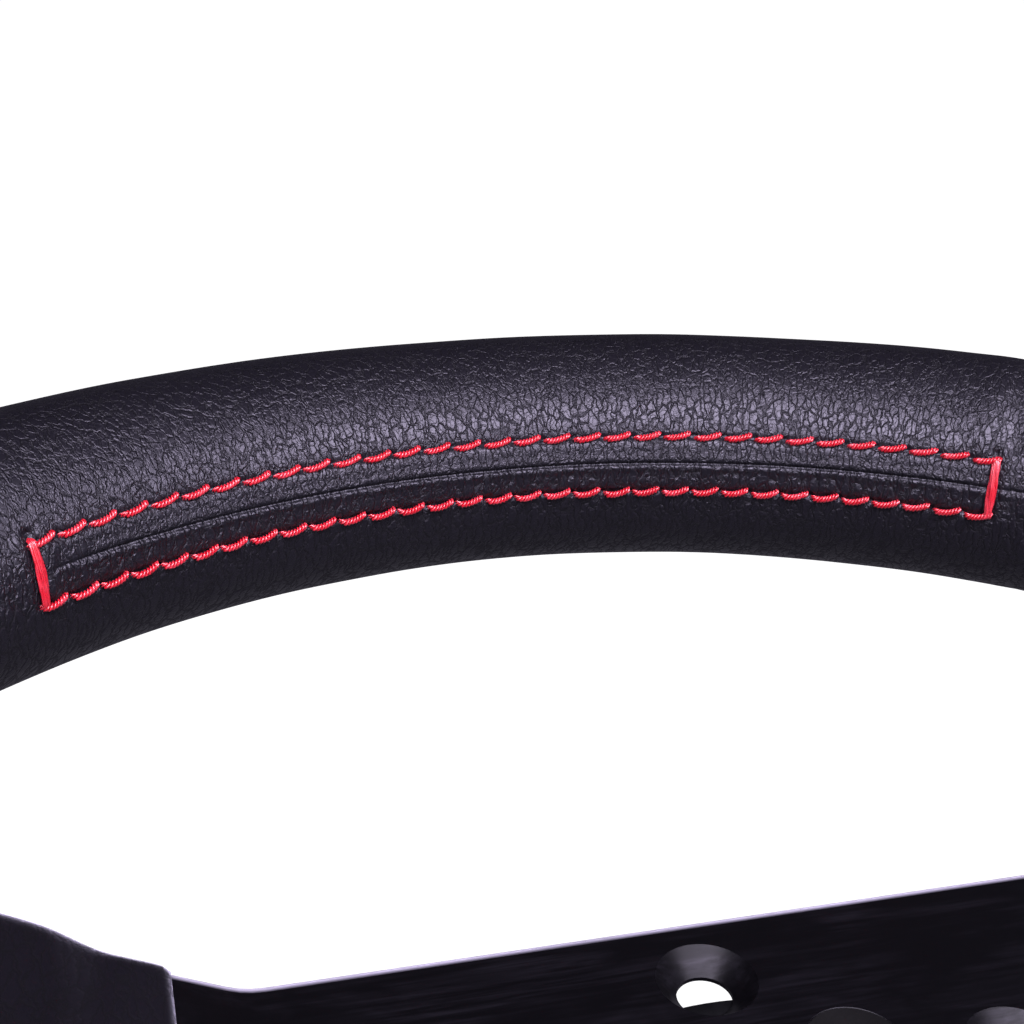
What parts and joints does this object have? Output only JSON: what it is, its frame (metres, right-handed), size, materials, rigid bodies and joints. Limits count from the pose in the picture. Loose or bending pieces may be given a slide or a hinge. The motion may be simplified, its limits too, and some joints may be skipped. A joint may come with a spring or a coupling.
{
  "type": "quick release steering wheel",
  "caption": "Leather-wrapped flat-bottom steering wheel on a bent black spoke plate, with red seam stitching and a ball-lock release hub that slides off a splined column shaft.",
  "frame": {"origin": "on the steering axis, at the spoke plate's back face, in the middle of the six-hole circle", "axes": "+Z along the steering axis towards the driver, +Y to the top of the rim, +X to the driver's right"},
  "size_m": [0.3264, 0.2858, 0.1438],
  "materials": {
    "plate_aluminium": "brushed and black anodised",
    "core_steel": "bare welded steel",
    "grip_foam": "moulded polyurethane foam",
    "leather": "black grained leather, satin",
    "red_thread": "twisted polyester thread",
    "cap_plastic": "satin",
    "hub_aluminium": "turned and black anodised",
    "collar_aluminium": "turned, grooved and anodised",
    "hub_steel": "ground and hardened",
    "black_steel": "black oxide",
    "rubber": "matt"
  },
  "bodies": {
    "column": {"column_shaft": "hub_steel"},
    "wheel": {"spoke_plate": "plate_aluminium", "rim_core_tube": "core_steel", "rim_lug_left": "core_steel", "rim_lug_right": "core_steel", "rim_lug_lower": "core_steel", "spoke_rivets": "core_steel", "grip_foam": "grip_foam", "leather_top": "leather", "leather_left": "leather", "leather_right": "leather", "leather_bottom": "leather", "spoke_sleeve_left": "leather", "spoke_sleeve_right": "leather", "spoke_sleeve_lower": "leather", "thread_row_outer": "red_thread", "thread_row_inner": "red_thread", "bar_tack_left": "red_thread", "bar_tack_right": "red_thread", "centre_cap": "cap_plastic", "release_hub": "hub_aluminium", "hub_screws": "black_steel", "spline_insert": "hub_steel", "collar_spring": "hub_steel", "retaining_ring": "black_steel", "anti_rattle_ring": "rubber"},
    "collar": {"release_collar": "collar_aluminium"},
    "lock_ball_1": {"lock_ball_1": "hub_steel"},
    "lock_ball_2": {"lock_ball_2": "hub_steel"},
    "lock_ball_3": {"lock_ball_3": "hub_steel"},
    "lock_ball_4": {"lock_ball_4": "hub_steel"},
    "lock_ball_5": {"lock_ball_5": "hub_steel"},
    "lock_ball_6": {"lock_ball_6": "hub_steel"}
  },
  "joints": [
    {"name": "wheel_pull_off", "type": "slide", "parent": "column", "child": "wheel", "axis": [0, 0, 1], "range_m": [0, 0.05]},
    {"name": "collar_slide", "type": "slide", "parent": "wheel", "child": "collar", "axis": [0, 0, 1], "range_m": [-0.006, 0], "stiffness_N_per_m": 900, "springref_m": -0.009, "deforming": ["collar_spring"]},
    {"name": "lock_ball_1_slide", "type": "slide", "parent": "wheel", "child": "lock_ball_1", "axis": [1, 0, 0], "range_m": [-0.0016, 0]},
    {"name": "lock_ball_2_slide", "type": "slide", "parent": "wheel", "child": "lock_ball_2", "axis": [0.5, 0.866, 0], "range_m": [-0.0016, 0]},
    {"name": "lock_ball_3_slide", "type": "slide", "parent": "wheel", "child": "lock_ball_3", "axis": [-0.5, 0.866, 0], "range_m": [-0.0016, 0]},
    {"name": "lock_ball_4_slide", "type": "slide", "parent": "wheel", "child": "lock_ball_4", "axis": [-1, 0, 0], "range_m": [-0.0016, 0]},
    {"name": "lock_ball_5_slide", "type": "slide", "parent": "wheel", "child": "lock_ball_5", "axis": [-0.5, -0.866, 0], "range_m": [-0.0016, 0]},
    {"name": "lock_ball_6_slide", "type": "slide", "parent": "wheel", "child": "lock_ball_6", "axis": [0.5, -0.866, 0], "range_m": [-0.0016, 0]}
  ],
  "couplings": [
    {"joint": "lock_ball_1_slide", "follows": "collar_slide", "ratio": 0.26667},
    {"joint": "lock_ball_2_slide", "follows": "collar_slide", "ratio": 0.26667},
    {"joint": "lock_ball_3_slide", "follows": "collar_slide", "ratio": 0.26667},
    {"joint": "lock_ball_4_slide", "follows": "collar_slide", "ratio": 0.26667},
    {"joint": "lock_ball_5_slide", "follows": "collar_slide", "ratio": 0.26667},
    {"joint": "lock_ball_6_slide", "follows": "collar_slide", "ratio": 0.26667}
  ]
}
